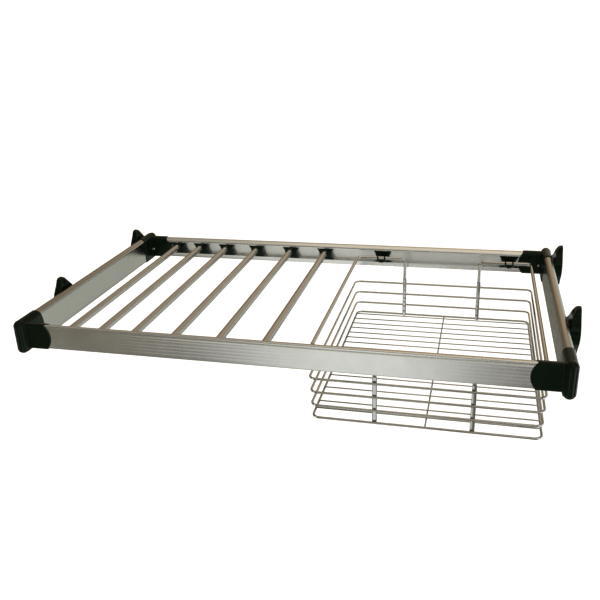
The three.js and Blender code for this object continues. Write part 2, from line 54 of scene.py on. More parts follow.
RUNNER_L, RUNNER_CENTRE, OPEN_AT_REST = 350.0, 78.0, 20.0
EAR_Y, EAR_W, EAR_H, EAR_IN = [-76.0, 219.5], 53.6, 76.0, 413.5
RIMS = [[47.5, 382.2, -48.0], [48.9, 381.8, -70.3], [49.5, 381.2, -92.4]]
FLOOR = [51.0, 381.4, -113.0]
BASKET_Y, RIM_D, FLOOR_WIRE_R, FLOOR_KEEL_R, KEEL_X = 207.0, 3.8, 1.15, 1.3, [218.8, 223.2]
FLOOR_WIRE_Y = [189.4, 165, 142.8, 121.3, 99.3, 77.8, 55.8, 34.1, 12.4, -9.4, -31.1, -52.8, -74.5, -95.9, -117.2, -139.3, -161.3, -183]
HANGER_R, HANGER_Y, HANGER_Z = 3.0, 204.3, 3.9
HANGER_X, STRAP_X = [52.25, 377.6], [144.8, 285.5]
STRAP_W, STRAP_Y, LEG_LOW = 6.4, [203.1, 204.8], -37.0
HOOK_X = [98.5, 338.2]
CAP_SCREW_X, CAP_SCREW_Z = 392.5, -4.0
IN = RAIL_OUT - SIDE_T
HALF = DEPTH / 2
FACE = HALF - END_T
SH = SIDE_H / 2
U = IN + WALL_T
CAVITY_TOP, CAVITY_LOW = 19.8, -21.5
SIDES = (("left", -1), ("right", 1))
ENDS = (("front", -1), ("rear", 1))


# ---------------------------------------------------------------- mesh helpers
def make_mesh(name, co, faces, angle=32.0, normals=None):
    """Mesh from points in mm. Edges sharper than angle stay sharp."""
    me = bpy.data.meshes.new(name)
    me.from_pydata((np.asarray(co, float) * MM).tolist(), [], [tuple(int(i) for i in f) for f in faces])
    me.validate()
    me.polygons.foreach_set("use_smooth", np.ones(len(me.polygons), bool))
    if normals is not None:
        me.normals_split_custom_set_from_vertices(np.asarray(normals, float).tolist())
    elif angle:
        me.set_sharp_from_angle(angle=math.radians(angle))
    me.update()
    return me


def piece(name, me, material, body, nodes, at=(0, 0, 0), turn=0.0):
    o = bpy.data.objects.new(name, me)
    scene.collection.objects.link(o)
    o.location = Vector(at) * MM
    o.rotation_euler = (0, 0, turn)
    if not me.materials:
        me.materials.append(material)
    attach(o, body)
    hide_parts(*nodes)
    return o


def mirror(co, faces, axis, normals=None):
    co = np.array(co, float)
    co[:, axis] *= -1
    faces = [tuple(reversed(f)) for f in faces]
    if normals is not None:
        normals = np.array(normals, float)
        normals[:, axis] *= -1
    return co, faces, normals


def arc(ca, cb, ra, rb, t0, t1, n):
    t = np.radians(np.linspace(t0, t1, n + 1))
    return [(ca + ra * math.cos(a), cb + rb * math.sin(a)) for a in t]


def fillet(points, radii, n=5):
    """Rounds the corners of a closed outline; radii is one number or one per corner."""
    out, m = [], len(points)
    for i, p in enumerate(points):
        r = radii[i] if hasattr(radii, "__len__") else radii
        a, b, c = Vector(points[i - 1]), Vector(p), Vector(points[(i + 1) % m])
        u, v = (a - b), (c - b)
        lu, lv = u.length, v.length
        u, v = u.normalized(), v.normalized()
        ang = math.acos(max(-1, min(1, u.dot(v))))
        if r <= 0 or ang > math.radians(175):
            out.append((b.x, b.y))
            continue
        back = min(r / math.tan(ang / 2), 0.48 * lu, 0.48 * lv)
        rr = back * math.tan(ang / 2)
        centre = b + (u + v).normalized() * (rr / math.sin(ang / 2))
        p0, p1 = b + u * back - centre, b + v * back - centre
        a0 = math.atan2(p0.y, p0.x)
        d = (math.atan2(p1.y, p1.x) - a0 + math.pi) % (2 * math.pi) - math.pi
        out += [(centre.x + rr * math.cos(a0 + d * k / n), centre.y + rr * math.sin(a0 + d * k / n)) for k in range(n + 1)]
    return out


def extrusion(outline, axis, a, b, holes=(), chamfer=0.0):
    """Closed prism along an axis. Outline points are (y,z) for x, (x,z) for y, (x,y) for z."""
    loops = [list(outline)] + [list(h) for h in holes]
    def area(l):
        return 0.5 * sum(l[i - 1][0] * l[i][1] - l[i][0] * l[i - 1][1] for i in range(len(l)))
    if area(loops[0]) < 0:
        loops[0].reverse()
    for h in loops[1:]:
        if area(h) > 0:
            h.reverse()
    flat = [p for l in loops for p in l]
    n = len(flat)
    tri = tessellate_polygon([[Vector((p[0], p[1], 0)) for p in l] for l in loops])
    stations = [a, b]
    def put(p, w):
        return {"x": (w, p[0], p[1]), "y": (p[0], w, p[1]), "z": (p[0], p[1], w)}[axis]
    co = [put(p, w) for w in stations for p in flat]
    faces, base = [], 0
    for l in loops:
        m = len(l)
        for i in range(m):
            j = (i + 1) % m
            faces.append((base + i, base + j, base + n + j, base + n + i))
        base += m
    for t in tri:
        p = [flat[i] for i in t]
        ccw = (p[1][0] - p[0][0]) * (p[2][1] - p[0][1]) - (p[2][0] - p[0][0]) * (p[1][1] - p[0][1]) > 0
        t = tuple(t) if ccw else tuple(reversed(t))
        faces.append(tuple(i + n for i in t))
        faces.append(tuple(reversed(t)))
    if axis == "y":
        faces = [tuple(reversed(f)) for f in faces]
    return np.array(co, float), faces


def join(*parts):
    co, faces, base = [], [], 0
    for c, f in parts:
        co.append(np.asarray(c, float))
        faces += [tuple(i + base for i in g) for g in f]
        base += len(c)
    return np.concatenate(co), faces


def bend(corners, r, n=8):
    """Corner points to a smooth path of straight runs and round bends."""
    c = [np.array(p, float) for p in corners]
    out = [c[0]]
    for i in range(1, len(c) - 1):
        a, b = c[i - 1] - c[i], c[i + 1] - c[i]
        a, b = a / np.linalg.norm(a), b / np.linalg.norm(b)
        half = math.acos(float(np.clip(a @ b, -1, 1))) / 2
        back = r / math.tan(half)
        mid = c[i] + (a + b) / np.linalg.norm(a + b) * (r / math.sin(half))
        p0, p1 = c[i] + a * back - mid, c[i] + b * back - mid
        sweep_angle = math.pi - 2 * half
        for k in range(n + 1):
            t = k / n
            out.append(mid + p0 * math.sin((1 - t) * sweep_angle) / math.sin(sweep_angle) + p1 * math.sin(t * sweep_angle) / math.sin(sweep_angle))
    out.append(c[-1])
    return out


def sweep(path, section, sides=20, closed=False, first=(1, 0, 0)):
    """Tube along a path. section(i) gives (half width, half height, power) of a superellipse at point i."""
    P = [np.array(p, float) for p in path]
    n = len(P)
    T = []
    for i in range(n):
        a = P[i - 1] if (closed or i > 0) else P[i]
        b = P[(i + 1) % n] if (closed or i < n - 1) else P[i]
        m = P[i]
        d0 = (m - a) / (np.linalg.norm(m - a) or 1)
        d1 = (b - m) / (np.linalg.norm(b - m) or 1)
        t = d0 + d1
        T.append(t / np.linalg.norm(t))
    N = np.array(first, float)
    N -= T[0] * (N @ T[0])
    N /= np.linalg.norm(N)
    co = []
    th = (np.arange(sides) + 0.5) / sides * 2 * math.pi
    for i in range(n):
        if i:
            v = np.cross(T[i - 1], T[i])
            s, c = np.linalg.norm(v), T[i - 1] @ T[i]
            if s > 1e-9:
                k = v / s
                a = math.atan2(s, c)
                N = N * math.cos(a) + np.cross(k, N) * math.sin(a) + k * (k @ N) * (1 - math.cos(a))
            N -= T[i] * (N @ T[i])
            N /= np.linalg.norm(N)
        B = np.cross(T[i], N)
        w, h, p = section(i)
        cs, sn = np.cos(th), np.sin(th)
        u = w * np.sign(cs) * np.abs(cs) ** (2 / p)
        v = h * np.sign(sn) * np.abs(sn) ** (2 / p)
        co.append(P[i] + u[:, None] * N + v[:, None] * B)
    co = np.concatenate(co)
    faces = []
    for i in range(n if closed else n - 1):
        j = (i + 1) % n
        for k in range(sides):
            l = (k + 1) % sides
            faces.append((i * sides + k, i * sides + l, j * sides + l, j * sides + k))
    if not closed:
        faces.append(tuple(range(sides - 1, -1, -1)))
        faces.append(tuple((n - 1) * sides + k for k in range(sides)))
    return co, faces


def wire(path, r, sides=16, first=(1, 0, 0), dome=True):
    """Round wire along a path, with softly rounded ends."""
    P = [np.array(p, float) for p in path]
    R = [r] * len(P)
    if dome:
        d0, d1 = P[0] - P[1], P[-1] - P[-2]
        d0, d1 = d0 / np.linalg.norm(d0), d1 / np.linalg.norm(d1)
        e = min(0.5, 0.35 * r)
        head = [P[0] - d0 * 0.0, P[0] - d0 * e * 0.3, P[0] - d0 * e]
        tail = [P[-1] - d1 * e, P[-1] - d1 * e * 0.3, P[-1] - d1 * 0.0]
        P = head + P[1:-1] + tail
        R = [r - e, r - e * 0.3, r] + [r] * (len(path) - 2) + [r, r - e * 0.3, r - e]
    return sweep(P, lambda i: (R[i], R[i], 2.0), sides, first=first)


# ---------------------------------------------------------------- signed distance modelling for moulded pieces
def sd_polygon(points, a, b):
    """Signed distance to a closed outline in a plane, negative inside."""
    d = np.full(np.broadcast(a, b).shape, 1e18)
    s = np.ones(d.shape)
    for i in range(len(points)):
        (px, py), (qx, qy) = points[i], points[i - 1]
        ex, ey = qx - px, qy - py
        wx, wy = a - px, b - py
        t = np.clip((wx * ex + wy * ey) / (ex * ex + ey * ey + 1e-12), 0, 1)
        d = np.minimum(d, (wx - ex * t) ** 2 + (wy - ey * t) ** 2)
        c1, c2, c3 = b >= py, b < qy, ex * wy > ey * wx
        s = np.where((c1 & c2 & c3) | (~c1 & ~c2 & ~c3), -s, s)
    return s * np.sqrt(d)


def smin(a, b, k):
    h = np.clip(0.5 + 0.5 * (b - a) / k, 0, 1)
    return b * (1 - h) + a * h - k * h * (1 - h)


def smax(a, b, k):
    return -smin(-a, -b, k)


def slab(w, w0, w1):
    return np.abs(w - (w0 + w1) / 2) - (w1 - w0) / 2


def rounded(d1, d2, r):
    """Where two distances meet in an outer corner, rounds it with radius r."""
    a, b = d1 + r, d2 + r
    return np.minimum(np.maximum(a, b), 0) + np.sqrt(np.maximum(a, 0) ** 2 + np.maximum(b, 0) ** 2) - r


def sd_box(x, y, z, x0, x1, y0, y1, z0, z1, r=0.3):
    qx, qy, qz = slab(x, x0, x1) + r, slab(y, y0, y1) + r, slab(z, z0, z1) + r
    out = np.sqrt(np.maximum(qx, 0) ** 2 + np.maximum(qy, 0) ** 2 + np.maximum(qz, 0) ** 2)
    return out + np.minimum(np.maximum(np.maximum(qx, qy), qz), 0) - r


def sd_capsule_z(x, y, z, cx, cy, half, r):
    dz = np.maximum(np.abs(z) - half, 0)
    return np.sqrt((x - cx) ** 2 + (y - cy) ** 2 + dz ** 2) - r


def net(f, lo, hi, h, keep=1.0):
    """Closed quad mesh of f = 0 on a grid of step h, then pulled onto the surface and thinned on flat areas."""
    lo, hi = np.array(lo, float) - 2 * h + 0.137 * h, np.array(hi, float) + 2 * h
    n = np.ceil((hi - lo) / h).astype(int) + 1
    ax = [lo[i] + h * np.arange(n[i]) for i in range(3)]
    F = np.broadcast_to(f(ax[0][:, None, None], ax[1][None, :, None], ax[2][None, None, :]), tuple(n)).astype(np.float64)
    cells = n - 1
    total = int(cells.prod())
    cnt = np.zeros(total)
    acc = np.zeros((3, total))
    quads = []
    for axis in range(3):
        s0 = [slice(None)] * 3; s1 = [slice(None)] * 3
        s0[axis] = slice(None, -1); s1[axis] = slice(1, None)
        A, B = F[tuple(s0)], F[tuple(s1)]
        idx = np.argwhere((A < 0) != (B < 0))
        a, b = A[tuple(idx.T)], B[tuple(idx.T)]
        pos = idx.astype(float)
        pos[:, axis] += a / (a - b)
        o1, o2 = (axis + 1) % 3, (axis + 2) % 3
        ring = []
        for d1, d2 in ((-1, -1), (0, -1), (0, 0), (-1, 0)):
            c = idx.copy()
            c[:, o1] += d1
            c[:, o2] += d2
            flat = (c[:, 0] * cells[1] + c[:, 1]) * cells[2] + c[:, 2]
            ring.append(flat)
            cnt += np.bincount(flat, minlength=total)
            for k in range(3):
                acc[k] += np.bincount(flat, weights=pos[:, k], minlength=total)
        q = np.stack(ring, 1)
        q[a >= 0] = q[a >= 0][:, ::-1]
        quads.append(q)
    used = np.nonzero(cnt)[0]
    V = (acc[:, used] / cnt[used]).T * h + lo
    remap = np.full(total, -1)
    remap[used] = np.arange(len(used))
    Q = remap[np.concatenate(quads)]
    ev = lambda p: np.broadcast_to(f(p[:, 0], p[:, 1], p[:, 2]), (len(p),))
    def grad(p, e):
        g = np.stack([(ev(p + e * np.eye(3)[k]) - ev(p - e * np.eye(3)[k])) / (2 * e) for k in range(3)], 1)
        return g
    for _ in range(2):
        g = grad(V, 0.02)
        step = ev(V)[:, None] * g / np.maximum((g * g).sum(1), 0.05)[:, None]
        m = np.linalg.norm(step, axis=1)
        V = V - step * np.minimum(1, 0.35 * h / np.maximum(m, 1e-9))[:, None]
    if keep < 1:
        me = bpy.data.meshes.new("thin")
        me.from_pydata((V * MM).tolist(), [], Q.tolist())
        o = bpy.data.objects.new("thin", me)
        scene.collection.objects.link(o)
        mod = o.modifiers.new("thin", "DECIMATE")
        mod.ratio = keep
        dg = bpy.context.evaluated_depsgraph_get()
        ev_me = o.evaluated_get(dg).to_mesh()
        V = np.array([v.co for v in ev_me.vertices]) / MM
        Q = [tuple(p.vertices) for p in ev_me.polygons]
        bpy.data.objects.remove(o)
        bpy.data.meshes.remove(me)
    else:
        Q = [tuple(q) for q in Q.tolist()]
    g = grad(V, 0.12 * h)
    g /= np.maximum(np.linalg.norm(g, axis=1), 1e-9)[:, None]
    return V, Q, g


# ---------------------------------------------------------------- materials
def new_material(name):
    m = bpy.data.materials.new(name)
    m.use_nodes = True
    nt = m.node_tree
    nt.nodes.clear()
    out = nt.nodes.new("ShaderNodeOutputMaterial")
    b = nt.nodes.new("ShaderNodeBsdfPrincipled")
    nt.links.new(b.outputs[0], out.inputs[0])
    return m, nt, b


def node(nt, kind, **values):
    n = nt.nodes.new(kind)
    for k, v in values.items():
        setattr(n, k, v)
    return n


def object_coords(nt, scale=(1, 1, 1)):
    tc = node(nt, "ShaderNodeTexCoord")
    mp = node(nt, "ShaderNodeMapping")
    mp.inputs["Scale"].default_value = scale
    nt.links.new(tc.outputs["Object"], mp.inputs["Vector"])
    return mp.outputs[0]


def noise(nt, vec, scale, detail=3.0, rough=0.5):
    n = node(nt, "ShaderNodeTexNoise")
    n.inputs["Scale"].default_value = scale
    n.inputs["Detail"].default_value = detail
    n.inputs["Roughness"].default_value = rough
    nt.links.new(vec, n.inputs["Vector"])
    return n.outputs["Fac"]


def remap(nt, value, a, b, c, d):
    n = node(nt, "ShaderNodeMapRange")
    for i, v in zip((1, 2, 3, 4), (a, b, c, d)):
        n.inputs[i].default_value = v
    nt.links.new(value, n.inputs[0])
    return n.outputs[0]


def mix_colour(nt, fac, a, b):
    n = node(nt, "ShaderNodeMix", data_type="RGBA")
    if hasattr(fac, "is_linked"):
        nt.links.new(fac, n.inputs[0])
    else:
        n.inputs[0].default_value = fac
    for slot_, v in ((6, a), (7, b)):
        if hasattr(v, "is_linked"):
            nt.links.new(v, n.inputs[slot_])
        else:
            n.inputs[slot_].default_value = (*v, 1)
    return n.outputs[2]


def maths(nt, op, a, b=None, c=None):
    n = node(nt, "ShaderNodeMath", operation=op)
    for i, v in enumerate((a, b, c)):
        if v is None:
            continue
        if hasattr(v, "is_linked"):
            nt.links.new(v, n.inputs[i])
        else:
            n.inputs[i].default_value = v
    return n.outputs[0]


def bump(nt, height, distance, strength=1.0, normal=None):
    n = node(nt, "ShaderNodeBump")
    n.inputs["Distance"].default_value = distance
    n.inputs["Strength"].default_value = strength
    nt.links.new(height, n.inputs["Height"])
    if normal is not None:
        nt.links.new(normal, n.inputs["Normal"])
    return n.outputs[0]


def drawn_aluminium(name, along, tint, shade, rough=0.3, slot=False):
    """Satin anodised extrusion: faint long die lines, soft changes of tint and dull handling marks."""
    m, nt, b = new_material(name)
    fine = [1500.0] * 3
    coarse = [260.0] * 3
    fine["xyz".index(along)] = 3.0
    coarse["xyz".index(along)] = 1.2
    lines = noise(nt, object_coords(nt, fine), 1.0, 1.0, 0.5)
    bands = noise(nt, object_coords(nt, coarse), 1.0, 1.0, 0.5)
    cloud = noise(nt, object_coords(nt), 9.0, 2.0, 0.5)
    marks = noise(nt, object_coords(nt, (40, 40, 40)), 1.0, 3.0, 0.6)
    c = mix_colour(nt, remap(nt, cloud, 0.3, 0.7, 0.0, 1.0), tint, shade)
    c = mix_colour(nt, remap(nt, bands, 0.3, 0.7, 0.0, 0.10), c, tuple(v * 0.88 for v in shade))
    c = mix_colour(nt, remap(nt, lines, 0.35, 0.65, 0.0, 0.02), c, tuple(v * 0.85 for v in tint))
    r = maths(nt, "ADD", remap(nt, marks, 0.3, 0.75, rough - 0.02, rough + 0.03), remap(nt, lines, 0.3, 0.7, -0.002, 0.002))
    if slot:                                                   # the inside of the T-slot is duller than the outer faces, and its colour there is painted lighter: painted light that lifts the slot's shade
        sep = node(nt, "ShaderNodeSeparateXYZ")
        nt.links.new(object_coords(nt), sep.inputs[0])
        deep, height = maths(nt, "ABSOLUTE", sep.outputs[1]), sep.outputs[2]
        inside = maths(nt, "MULTIPLY", remap(nt, deep, (FACE + 0.3) / 1000, (FACE + 0.6) / 1000, 0.0, 1.0),
                       remap(nt, deep, (HALF - WALL_T + 0.6) / 1000, (HALF - WALL_T + 0.3) / 1000, 0.0, 1.0))
        inside = maths(nt, "MULTIPLY", inside, remap(nt, height, (SLOT_IN_HIGH + 0.6) / 1000, (SLOT_IN_HIGH + 0.3) / 1000, 0.0, 1.0))
        inside = maths(nt, "MULTIPLY", inside, remap(nt, height, (SLOT_IN_LOW - 0.6) / 1000, (SLOT_IN_LOW - 0.3) / 1000, 0.0, 1.0))
        r = maths(nt, "ADD", r, maths(nt, "MULTIPLY", inside, 0.20))
        # Painted light: the slot's inside is mixed towards a lighter tint to cancel the shade in the recess.
        c = mix_colour(nt, maths(nt, "MULTIPLY", inside, 0.85), c, tuple(min(0.95, v * 1.27) for v in tint))
    nt.links.new(c, b.inputs["Base Color"])
    nt.links.new(r, b.inputs["Roughness"])
    b.inputs["Metallic"].default_value = 1.0
    nt.links.new(bump(nt, lines, 0.000001, 0.05), b.inputs["Normal"])
    return m


def moulded_black(name):
    """Black moulded plastic: spark-eroded grain, slight sheen changes, and a painted highlight on convex edges."""
    m, nt, b = new_material(name)
    co = object_coords(nt)
    grain = noise(nt, co, 2600.0, 2.0, 0.6)
    flow = noise(nt, object_coords(nt, (1, 1, 0.4)), 60.0, 4.0, 0.6)
    dust = noise(nt, co, 420.0, 5.0, 0.7)
    geo = node(nt, "ShaderNodeNewGeometry")
    # Painted highlight: convex edges found by pointiness are painted a lighter grey-green, broken up by the dust noise.
    edge = remap(nt, geo.outputs["Pointiness"], 0.52, 0.58, 0.0, 0.6)
    c = mix_colour(nt, remap(nt, flow, 0.3, 0.7, 0.0, 1.0), (0.0028, 0.0062, 0.0030), (0.0040, 0.0082, 0.0044))
    c = mix_colour(nt, maths(nt, "MULTIPLY", edge, remap(nt, dust, 0.4, 0.7, 0.5, 1.0)), c, (0.040, 0.056, 0.046))
    nt.links.new(c, b.inputs["Base Color"])
    r = maths(nt, "ADD", remap(nt, flow, 0.25, 0.75, 0.14, 0.20), remap(nt, dust, 0.4, 0.8, -0.01, 0.05))
    nt.links.new(r, b.inputs["Roughness"])
    b.inputs["IOR"].default_value = 1.42
    b.inputs["Specular IOR Level"].default_value = 0.11
    b.inputs["Specular Tint"].default_value = (0.86, 1.0, 0.90, 1.0)
    nt.links.new(bump(nt, grain, 0.00001, 0.3), b.inputs["Normal"])
    return m


def chrome_plate(name, tint=(0.54, 0.535, 0.515), shade=(0.49, 0.485, 0.465)):
    """Bright chrome plate on drawn wire: faint drawing lines, waviness and hazy spots."""
    m, nt, b = new_material(name)
    co = object_coords(nt)
    wave = noise(nt, co, 95.0, 2.0, 0.5)
    haze = noise(nt, co, 240.0, 4.0, 0.65)
    fine = noise(nt, co, 3000.0, 2.0, 0.5)
    c = mix_colour(nt, remap(nt, haze, 0.35, 0.7, 0.0, 1.0), tint, shade)
    nt.links.new(c, b.inputs["Base Color"])
    nt.links.new(remap(nt, haze, 0.35, 0.75, 0.04, 0.11), b.inputs["Roughness"])
    b.inputs["Metallic"].default_value = 1.0
    n1 = bump(nt, wave, 0.00001, 0.2)
    nt.links.new(bump(nt, fine, 0.000003, 0.3, n1), b.inputs["Normal"])
    return m


def zinc_plate(name, tint=(0.58, 0.59, 0.60)):
    """Bright zinc plate: fine spangle, slightly blue, dull rubbed streaks along the travel."""
    m, nt, b = new_material(name)
    co = object_coords(nt)
    v = node(nt, "ShaderNodeTexVoronoi")
    v.inputs["Scale"].default_value = 420.0
    nt.links.new(co, v.inputs["Vector"])
    streak = noise(nt, object_coords(nt, (900, 5, 900)), 1.0, 3.0, 0.6)
    cloud = noise(nt, co, 30.0, 3.0, 0.6)
    spangle = node(nt, "ShaderNodeRGBToBW")
    nt.links.new(v.outputs["Color"], spangle.inputs[0])
    c = mix_colour(nt, remap(nt, spangle.outputs[0], 0.2, 0.8, 0.0, 1.0), tint, tuple(x * 0.86 for x in tint))
    c = mix_colour(nt, remap(nt, cloud, 0.35, 0.7, 0.0, 0.35), c, (0.50, 0.49, 0.44))
    nt.links.new(c, b.inputs["Base Color"])
    r = maths(nt, "ADD", remap(nt, spangle.outputs[0], 0, 1, 0.22, 0.32), remap(nt, streak, 0.4, 0.7, 0.0, 0.10))
    nt.links.new(r, b.inputs["Roughness"])
    b.inputs["Metallic"].default_value = 1.0
    nt.links.new(bump(nt, streak, 0.00002, 0.5), b.inputs["Normal"])
    return m


# Lit and shaded copies of one satin aluminium: the side rails and bars get darker tints than the end rails, painted
# shade for how they catch the light.
M_END = drawn_aluminium("satin_aluminium_end_rails", "x", (0.75, 0.745, 0.73), (0.725, 0.72, 0.70), 0.21, True)
M_SIDE_SHADED = drawn_aluminium("satin_aluminium_side_rails_shaded", "y", (0.385, 0.370, 0.335), (0.37, 0.355, 0.32), 0.22)
M_BAR_SHADED = drawn_aluminium("satin_aluminium_bars_shaded", "y", (0.51, 0.50, 0.475), (0.485, 0.475, 0.45), 0.24)
M_BLACK = moulded_black("moulded_black")
M_CHROME = chrome_plate("chrome_wire")
# Darker copy of the chrome for the basket floor wires: painted shade.
M_CHROME_FLOOR_SHADED = chrome_plate("chrome_floor_wire_shaded", (0.45, 0.445, 0.425), (0.40, 0.395, 0.375))
M_RUNNER = zinc_plate("runner_zinc")
M_SCREW = zinc_plate("screw_zinc", (0.36, 0.36, 0.35))


# ---------------------------------------------------------------- sections
def side_outline(n=28):
    r, cx = SIDE_T / 2, (IN + RAIL_OUT) / 2
    return arc(cx, SH - r, r, r, 0, 180, n) + fillet([(IN, -SH), (RAIL_OUT, -SH)], 0)


def end_outline(n=18):
    y0, y1, z1, z0, flat = FACE, HALF, END_HIGH, END_LOW, 2.2
    ry, rz = y1 - flat - y0, END_HIGH - SHOULDER
    return (arc(y1 - 1.6, z1 - 1.6, 1.6, 1.6, 0, 90, 6) + arc(y0 + ry, z1 - rz, ry, rz, 90, 180, n)
            + arc(y0 + 1, z0 + 1, 1, 1, 180, 270, 5) + arc(y1 - 2, z0 + 2, 2, 2, 270, 360, 6))


def flute(centre, half, depth, n=6):
    """Offsets of a soft groove, as (position, depth) from low to high."""
    return [(centre + half * t, depth * 0.5 * (1 + math.cos(math.pi * t))) for t in np.linspace(-1, 1, 2 * n + 1)]


def end_section():
    top = (arc(HALF - 1.6, END_HIGH - 1.6, 1.6, 1.6, 0, 90, 7)
           + arc(FACE + (HALF - 2.2 - FACE), SHOULDER, HALF - 2.2 - FACE, END_HIGH - SHOULDER, 90, 180, 22))
    slot = fillet([(FACE, SLOT_HIGH), (FACE + LIP_T, SLOT_HIGH), (FACE + LIP_T, SLOT_IN_HIGH), (HALF - WALL_T, SLOT_IN_HIGH),
                   (HALF - WALL_T, SLOT_IN_LOW), (FACE + LIP_T, SLOT_IN_LOW), (FACE + LIP_T, SLOT_LOW), (FACE, SLOT_LOW)],
                  [0.3, 0.3, 0.3, 0.5, 0.5, 0.3, 0.3, 0.3], 3)
    low = arc(FACE + 1, END_LOW + 1, 1, 1, 180, 270, 4) + arc(HALF - 2, END_LOW + 2, 2, 2, 270, 360, 6)
    face = []
    for c in (-10.7, -5.4, -0.1, 5.2, 10.5):
        face += [(HALF - d, z) for z, d in flute(c, 1.9, 0.05)]
    face += [(HALF - d, z) for z, d in flute(15.7, 0.85, 0.75, 6)]
    return top + slot + low + face


def side_section():
    r, cx, cz = SIDE_T / 2, (IN + RAIL_OUT) / 2, SH - SIDE_T / 2
    cut = math.degrees(math.asin((CAVITY_TOP - cz) / r))
    pts = arc(cx, cz, r, r, cut, 180, 30)
    for c in (13.6, 8.3, 3.0, -2.3, -7.6, -12.9):
        pts += [(IN + d, z) for z, d in reversed(flute(c, 1.9, 0.05))]
    pts += arc(IN + 1, -SH + 1, 1, 1, 180, 270, 4) + arc(RAIL_OUT - 1, -SH + 1, 1, 1, 270, 360, 4)
    pts += fillet([(RAIL_OUT, CAVITY_LOW), (IN + WALL_T, CAVITY_LOW), (IN + WALL_T, CAVITY_TOP)], [0, 0.5, 0.5], 3)[0:]
    return pts


# ---------------------------------------------------------------- rails and bars
co, fa = extrusion(end_section(), "x", -IN + GAP, IN - GAP)
piece("v_rear_rail", make_mesh("v_rear_rail", co, fa, 40), M_END, "rack", ["rear_rail"])
co, fa, _ = mirror(co, fa, 1)
piece("v_front_rail", make_mesh("v_front_rail", co, fa, 40), M_END, "rack", ["front_rail"])
co, fa = extrusion(side_section(), "y", -HALF + 1, HALF - 1)
piece("v_right_side_rail", make_mesh("v_right_side_rail", co, fa, 40), M_SIDE_SHADED, "rack", ["right_side_rail"])
co, fa, _ = mirror(co, fa, 0)
piece("v_left_side_rail", make_mesh("v_left_side_rail", co, fa, 40), M_SIDE_SHADED, "rack", ["left_side_rail"])


def ring_pts(r, n):
    return [(r * math.cos(2 * math.pi * i / n), r * math.sin(2 * math.pi * i / n)) for i in range(n)]


def tube(r, wall, y0, y1, n=64):
    """Open tube along Y with small chamfers on both rims."""
    c = 0.25
    prof = [(r - wall, y0 + c), (r - wall + c, y0), (r - c, y0), (r, y0 + c), (r, y1 - c), (r - c, y1), (r - wall + c, y1), (r - wall, y1 - c)]
    m = len(prof)
    co, faces = [], []
    for i in range(n):
        a = 2 * math.pi * i / n
        co += [(q * math.cos(a), w, q * math.sin(a)) for q, w in prof]
    for i in range(n):
        j = (i + 1) % n
        for k in range(m):
            l = (k + 1) % m
            faces.append((i * m + k, j * m + k, j * m + l, i * m + l))
    return np.array(co), [tuple(reversed(f)) for f in faces]


bar_mesh = make_mesh("v_trouser_bar", *tube(BAR_R, BAR_WALL, -(FACE + 3.8), FACE + 3.8), 30)
for i, x in enumerate(BAR_X):
    piece(f"v_trouser_bar_{i + 1}", bar_mesh, M_BAR_SHADED, f"bar_{i + 1}", [f"trouser_bar_{i + 1}"], (x, 0, BAR_Z))


# ---------------------------------------------------------------- corner caps
CAP_R, CAP_X = SIDE_T / 2 + CAP_T, (IN + RAIL_OUT) / 2
SIDE_POLY = arc(CAP_X, SH - SIDE_T / 2, SIDE_T / 2, SIDE_T / 2, 0, 180, 24) + fillet([(IN, -SH), (RAIL_OUT, -SH), (RAIL_OUT, 0), (IN, 0)], [1, 1, 0, 0], 3)[0:8]
END_POLY = end_outline()


def sd_upright(x, y, z, cy, low, high, r):
    """Upright round bar with domed ends on the middle line of a side rail."""
    zz = z - (low + high) / 2
    return sd_capsule_z(x, y, zz, CAP_X, cy, (high - low) / 2 - r, r)


def cap_field(front):
    h = SH + CAP_T
    def f(x, y, z):
        S = sd_polygon(SIDE_POLY, x, z)
        E = sd_polygon(END_POLY, y, z)
        start = FRONT_CAP_Y + FRONT_CAP_SAG * (z / h) ** 2 if front else REAR_CAP_Y + 0 * z
        side = rounded(S - CAP_T, np.maximum(start - y, y - (HALF + (1.5 if front else 3.5))), 0.45)
        start_x = CAP_END_X + CAP_SAG * (z / (END_HIGH + CAP_T)) ** 2
        end = rounded(E - CAP_T, np.maximum(start_x - x, x - CAP_X), 0.45)
        body = smin(side, end, 1.0)
        if front:
            nose = sd_upright(x, y, z, HALF + 1.5, FRONT_NOSE_LOW, h, CAP_R)
            ridge = sd_upright(x, y, z, HALF + 1.5 + CAP_R - 5.2 + 0.95, FRONT_NOSE_LOW + 2.5, h - 2.5, 5.2)
            body = smin(body, nose, 1.4)
            body = smax(body, -np.maximum(ridge - 0.75, -0.55 - nose), 0.15)   # groove round the raised ridge
            body = smin(body, ridge, 0.1)
        else:
            body = smin(body, sd_upright(x, y, z, REAR_NOSE_Y, -REAR_NOSE_H, REAR_NOSE_H, REAR_NOSE_R), 2.2)
        room_side = np.maximum(S - GAP, np.maximum(150 - y, y - (HALF - 1 + GAP)))
        room_end = np.maximum(E - GAP, np.maximum(300 - x, x - IN))
        body = smax(body, -room_side, 0.15)
        body = smax(body, -room_end, 0.15)
        if not front:
            body = smax(body, np.minimum(x - RAIL_OUT, (HALF + 1) - y), 0.5)
            notch = sd_box(x, y, z, IN + WALL_T + GAP, 470, 150, 300, CAVITY_LOW + 1.2, CAVITY_TOP - 0.4, 0.3)
            body = smax(body, -notch, 0.3)
        # Plug in the T-slot, the screw's bore, and a shallow dish round the screw head.
        plug = sd_box(x, y, z, 371, 396, FACE - CAP_T + 0.2, HALF - WALL_T - 1.5, SLOT_LOW + 0.6, SLOT_HIGH - 0.6, 0.4)
        body = np.minimum(body, plug)
        rad = np.sqrt((x - CAP_SCREW_X) ** 2 + (z - CAP_SCREW_Z) ** 2)
        body = smax(body, -np.maximum(rad - 1.9, y - (FACE + 8)), 0.2)
        dish = np.maximum(rad - 3.6, y - (FACE - CAP_T + 0.35))
        return smax(body, -dish, 0.15)
    return f


